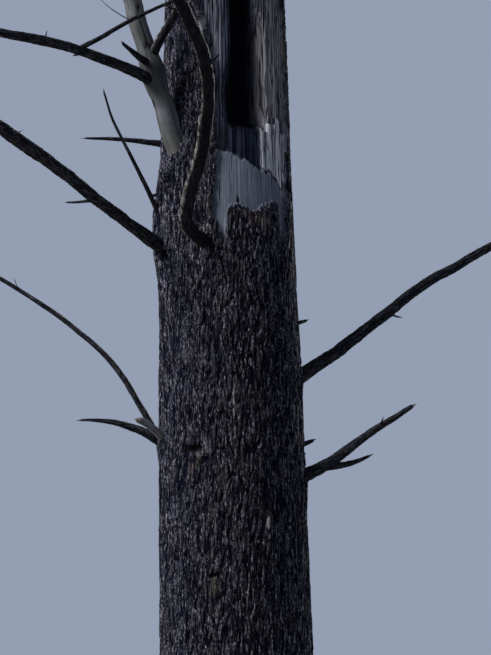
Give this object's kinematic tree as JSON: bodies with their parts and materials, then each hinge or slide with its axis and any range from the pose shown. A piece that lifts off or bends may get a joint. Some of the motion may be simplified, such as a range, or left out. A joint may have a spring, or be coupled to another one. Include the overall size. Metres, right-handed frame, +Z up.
{
  "type": "dead tree",
  "caption": "Tall dead tree with a leaning furrowed trunk, a long wound in its front, a bare great limb, dead boughs with bare twigs and a splintered, broken top.",
  "frame": {"origin": "middle of the flat cut under the trunk, at ground level", "axes": "+Z up along the trunk, -Y towards the side with the wound"},
  "size_m": [5.5035, 6.4065, 12.8608],
  "materials": {
    "trunk_bark": "deeply furrowed matte bark",
    "bough_bark": "thin flaking matte bark",
    "grey_wood": "bare weathered wood",
    "twig": "matte dead twig"
  },
  "bodies": {
    "root": {"crotch_arm": "bough_bark", "crotch_stub": "bough_bark", "front_bough": "bough_bark", "front_bough_twigs": "twig", "great_limb": "grey_wood", "great_limb_front_bough": "grey_wood", "great_limb_front_bough_twigs": "twig", "great_limb_rear_bough": "grey_wood", "great_limb_rear_bough_twigs": "twig", "great_limb_twigs": "twig", "high_left_bough": "bough_bark", "high_left_bough_twigs": "twig", "high_left_fork": "bough_bark", "low_left_bough": "bough_bark", "low_left_bough_twigs": "twig", "low_left_snag": "grey_wood", "low_left_stub": "bough_bark", "low_right_bough": "bough_bark", "low_right_fork": "bough_bark", "mid_left_bough": "bough_bark", "mid_left_bough_twigs": "twig", "mid_right_bough": "bough_bark", "mid_right_bough_twigs": "twig", "rear_high_bough": "bough_bark", "rear_high_bough_twigs": "twig", "rear_low_bough": "bough_bark", "rear_low_bough_twigs": "twig", "slender_left_branch": "bough_bark", "trunk": "trunk_bark", "upper_left_stub": "bough_bark", "whorl_bough_1": "bough_bark", "whorl_bough_10": "grey_wood", "whorl_bough_10_twigs": "twig", "whorl_bough_11": "grey_wood", "whorl_bough_11_twigs": "twig", "whorl_bough_13": "grey_wood", "whorl_bough_13_twigs": "twig", "whorl_bough_14": "grey_wood", "whorl_bough_14_twigs": "twig", "whorl_bough_16": "grey_wood", "whorl_bough_16_twigs": "twig", "whorl_bough_1_twigs": "twig", "whorl_bough_2": "bough_bark", "whorl_bough_2_twigs": "twig", "whorl_bough_4": "bough_bark", "whorl_bough_4_twigs": "twig", "whorl_bough_5": "bough_bark", "whorl_bough_5_twigs": "twig", "whorl_bough_7": "bough_bark", "whorl_bough_7_twigs": "twig", "whorl_bough_8": "bough_bark", "whorl_bough_8_twigs": "twig", "whorl_stub_12": "grey_wood", "whorl_stub_15": "grey_wood", "whorl_stub_17": "grey_wood", "whorl_stub_18": "grey_wood", "whorl_stub_3": "bough_bark", "whorl_stub_6": "bough_bark", "whorl_stub_9": "bough_bark"}
  },
  "joints": []
}
